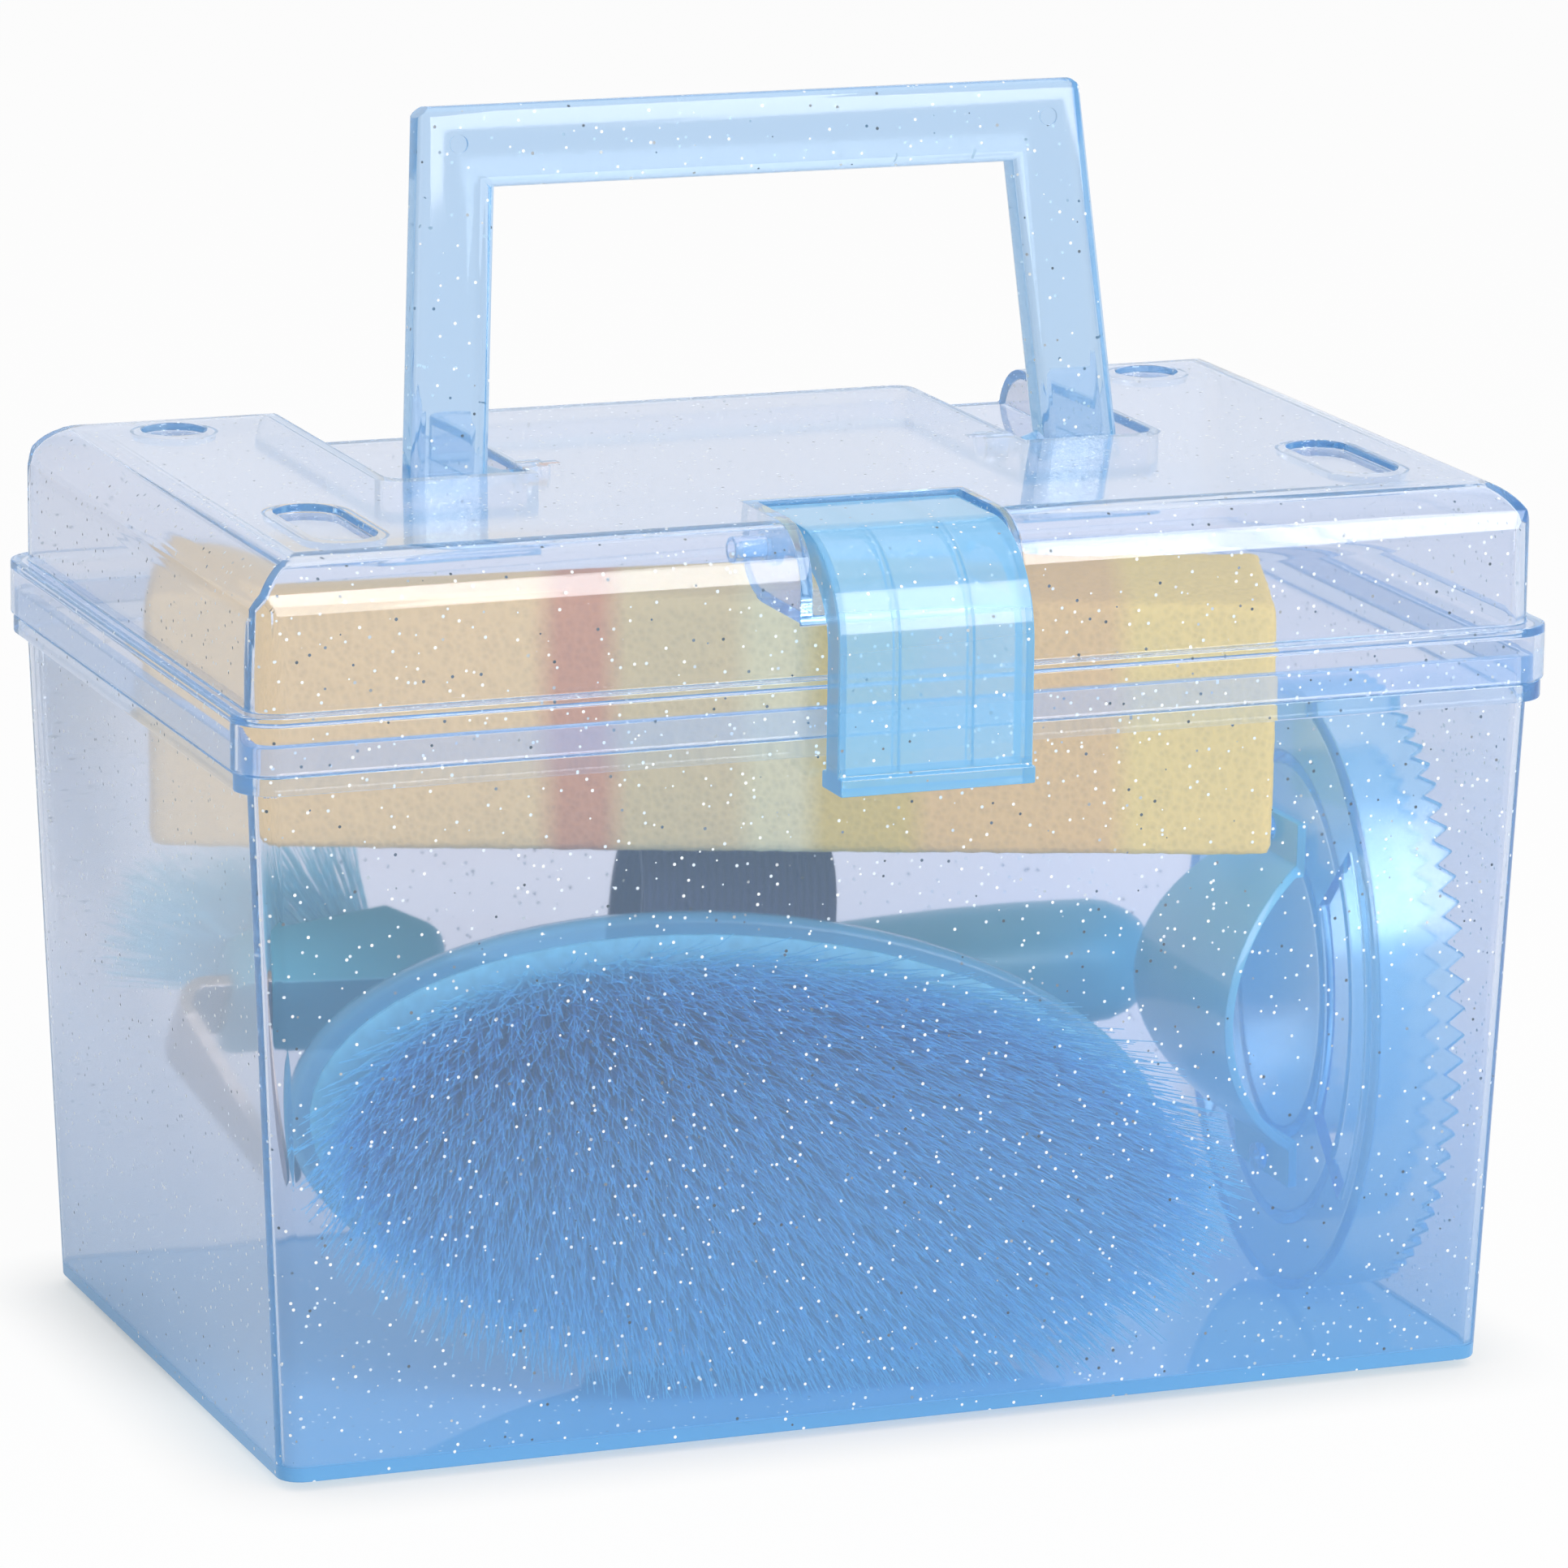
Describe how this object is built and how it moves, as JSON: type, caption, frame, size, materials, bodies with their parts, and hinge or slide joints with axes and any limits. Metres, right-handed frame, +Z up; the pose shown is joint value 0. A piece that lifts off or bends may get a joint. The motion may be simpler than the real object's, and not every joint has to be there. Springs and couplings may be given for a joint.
{
  "type": "horse grooming box",
  "caption": "Translucent carrying box with a hinged lid, fold-down handle and snap latch, packed with a sponge, body brush, curry comb and hoof pick.",
  "frame": {"origin": "on the table, under the middle of the outline of box, latch and hinge", "axes": "+Z up, -Y to the latch at the front, +X to the right as seen from the front"},
  "size_m": [0.25, 0.1642, 0.231],
  "materials": {
    "clear_blue_plastic": "glossy translucent plastic with glitter",
    "sky_blue_plastic": "glossy translucent plastic",
    "yellow_foam": "open-cell foam",
    "brush_plastic": "translucent moulding",
    "blue_bristle": "soft filament",
    "navy_webbing": "woven webbing",
    "rivet_steel": "plated",
    "comb_plastic": "translucent flexible plastic",
    "teal_plastic": "moulded, satin",
    "hook_steel": "plain steel strip",
    "pale_bristle": "stiff filament"
  },
  "bodies": {
    "tub": {"box_body": "clear_blue_plastic", "sponge": "yellow_foam", "body_brush_back": "brush_plastic", "body_brush_bristles": "blue_bristle", "body_brush_strap": "navy_webbing", "body_brush_rivets": "rivet_steel", "curry_comb": "comb_plastic", "curry_comb_strap": "comb_plastic", "curry_comb_studs": "comb_plastic", "hoof_pick_handle": "teal_plastic", "hoof_pick_hook": "hook_steel", "hoof_pick_bristles": "pale_bristle"},
    "lid": {"lid": "clear_blue_plastic"},
    "handle": {"handle": "clear_blue_plastic"},
    "latch": {"latch": "sky_blue_plastic"}
  },
  "joints": [
    {"name": "lid_hinge", "type": "hinge", "parent": "tub", "child": "lid", "pos_m": [0, 0.07908, 0.13], "axis": [-1, 0, 0], "range_deg": [0, 105]},
    {"name": "handle_fold", "type": "hinge", "parent": "lid", "child": "handle", "pos_m": [0, 0.00443, 0.1633], "axis": [-1, 0, 0], "range_deg": [-8, 81]},
    {"name": "latch_swing", "type": "hinge", "parent": "lid", "child": "latch", "pos_m": [0, -0.04858, 0.16], "axis": [-1, 0, 0], "range_deg": [0, 90]}
  ]
}
